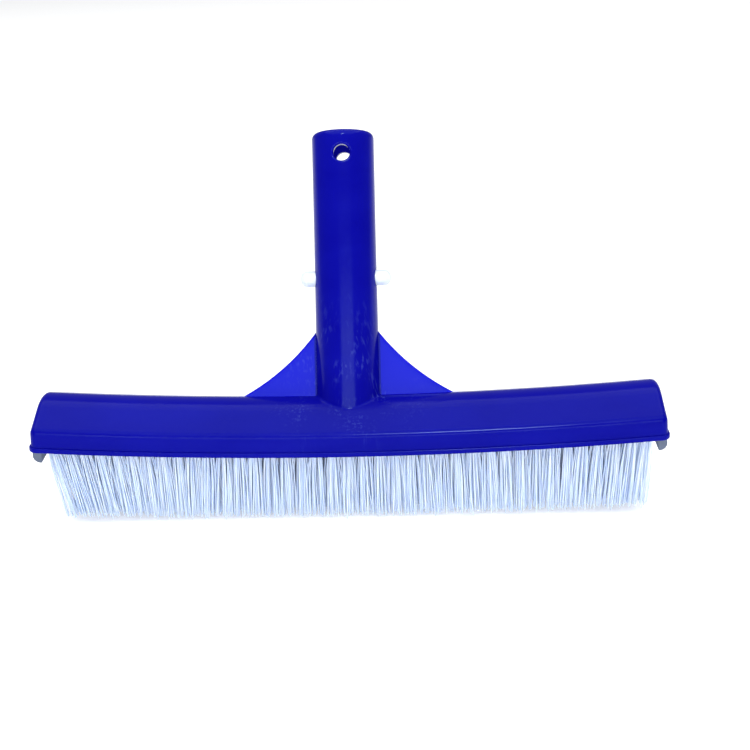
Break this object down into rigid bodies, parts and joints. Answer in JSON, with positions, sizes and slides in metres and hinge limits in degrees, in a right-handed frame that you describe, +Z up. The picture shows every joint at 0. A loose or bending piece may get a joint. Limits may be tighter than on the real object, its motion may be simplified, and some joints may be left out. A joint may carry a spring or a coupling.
{
  "type": "pool wall brush",
  "caption": "Pool wall brush: a curved blue head with a gray block of white bristle tufts, and a leaning webbed spigot whose spring buttons snap into a pole.",
  "frame": {"origin": "under the middle of the brush's box, on the surface that the bristle tips stand on", "axes": "+X along the head, +Y to the rear, where the spigot leans, +Z up"},
  "size_m": [0.27, 0.0838, 0.155],
  "materials": {
    "shell": "glossy moulded polypropylene, royal blue",
    "block": "satin moulded plastic, blue gray",
    "bristle": "translucent bluish-white nylon filament",
    "anchor_wire": "flat drawn wire",
    "screw": "stainless, bright",
    "clip": "white acetal, semi-gloss"
  },
  "bodies": {
    "brush": {"head_shell": "shell", "spigot": "shell", "brush_block": "block", "front_edge_tufts": "bristle", "front_tufts": "bristle", "middle_tufts": "bristle", "rear_tufts": "bristle", "rear_edge_tufts": "bristle", "tuft_anchors": "anchor_wire", "block_screws": "screw", "clip_bow": "clip"},
    "left_arm": {"left_clip_arm": "clip"},
    "right_arm": {"right_clip_arm": "clip"}
  },
  "joints": [
    {"name": "left_button_press", "type": "hinge", "parent": "brush", "child": "left_arm", "pos_m": [-0.0082, -0.00759, 0.05712], "axis": [0, 0.9272, -0.3746], "range_deg": [0, 9], "stiffness_Nm_per_rad": 2.5, "springref_deg": -3.44},
    {"name": "right_button_press", "type": "hinge", "parent": "brush", "child": "right_arm", "pos_m": [0.0082, -0.00759, 0.05712], "axis": [0, -0.9272, 0.3746], "range_deg": [0, 9], "stiffness_Nm_per_rad": 2.5, "springref_deg": -3.44}
  ]
}
